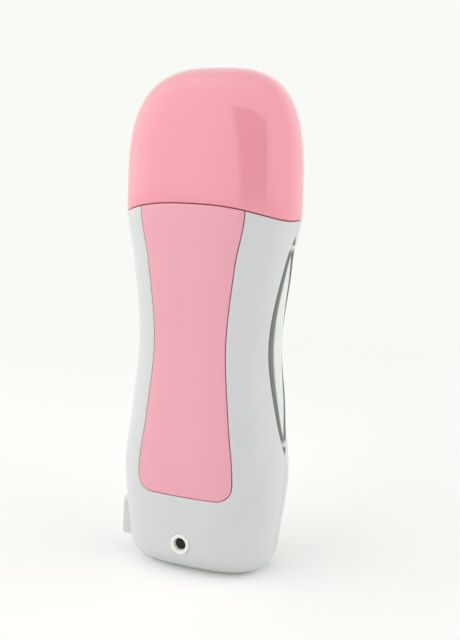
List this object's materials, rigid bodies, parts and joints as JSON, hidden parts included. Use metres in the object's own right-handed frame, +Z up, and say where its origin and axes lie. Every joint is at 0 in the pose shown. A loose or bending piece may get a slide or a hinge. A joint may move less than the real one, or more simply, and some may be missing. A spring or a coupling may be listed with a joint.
{
  "type": "roll-on wax heater",
  "caption": "Hand-held heater for a roll-on wax cartridge: waisted housing, side windows, side power button and a domed lift-off cap.",
  "frame": {"origin": "centre of the flat base, on the surface that it stands on", "axes": "+Z up along the heater, front panel faces -Y, power button on the -X side"},
  "size_m": [0.071, 0.0456, 0.2005],
  "materials": {
    "pearl_white": "satin, faintly pearly",
    "pink_satin": "satin",
    "pink_gloss": "high gloss",
    "grey_rubber": "matte",
    "clear_pane": "clear, polished",
    "milky_plastic": "smooth",
    "bottle_plastic": "milky, smooth",
    "heat_plastic": "moulded",
    "aluminium": "drawn",
    "silicone": "matte",
    "black_plastic": "moulded",
    "steel": "plated",
    "board_green": "solder mask",
    "component_yellow": "moulded",
    "component_blue": "coated",
    "smoked_lens": "polished",
    "brass": "plated",
    "red_lead": "insulated",
    "blue_lead": "insulated",
    "wax": "solid wax"
  },
  "bodies": {
    "housing": {"front_shell": "pearl_white", "rear_shell": "pearl_white", "front_panel": "pink_satin", "window_gasket_left": "grey_rubber", "window_pane_left": "clear_pane", "window_gasket_right": "grey_rubber", "window_pane_right": "clear_pane", "top_collar": "pink_satin", "sleeve_carrier": "heat_plastic", "heater_sleeve": "aluminium", "heater_pad_front": "silicone", "heater_pad_rear": "silicone", "thermostat": "black_plastic", "thermal_fuse": "steel", "board_screw_left": "steel", "board_screw_right": "steel", "circuit_board": "board_green", "film_capacitor": "component_yellow", "dropper_resistor": "component_blue", "rectifier_diode": "black_plastic", "led_bezel": "milky_plastic", "led_lamp": "smoked_lens", "inlet_pin_left": "brass", "inlet_pin_right": "brass", "inlet_housing": "black_plastic", "switch_body": "black_plastic", "case_screw_left": "steel", "case_screw_right": "steel", "live_lead": "red_lead", "neutral_lead": "blue_lead", "switch_lead": "red_lead", "heater_lead_front": "red_lead", "heater_lead_rear": "blue_lead"},
    "button": {"power_button": "pearl_white", "switch_plunger": "milky_plastic"},
    "cartridge": {"cartridge_bottle": "bottle_plastic", "wax_charge": "wax", "cartridge_head": "milky_plastic", "roller_axle": "steel"},
    "roller": {"roller": "milky_plastic"},
    "cap": {"wax_cap": "pink_gloss"}
  },
  "joints": [
    {"name": "cartridge_lift", "type": "slide", "parent": "housing", "child": "cartridge", "axis": [0, 0, 1], "range_m": [0, 0.13]},
    {"name": "cap_lift", "type": "slide", "parent": "cartridge", "child": "cap", "axis": [0, 0, 1], "range_m": [0, 0.06]},
    {"name": "roller_spin", "type": "hinge", "parent": "cartridge", "child": "roller", "pos_m": [0, 0, 0.1641], "axis": [1, 0, 0], "continuous": true},
    {"name": "power_button_press", "type": "slide", "parent": "housing", "child": "button", "axis": [1, 0, 0], "range_m": [0, 0.0025], "stiffness_N_per_m": 800, "springref_m": -0.001}
  ]
}
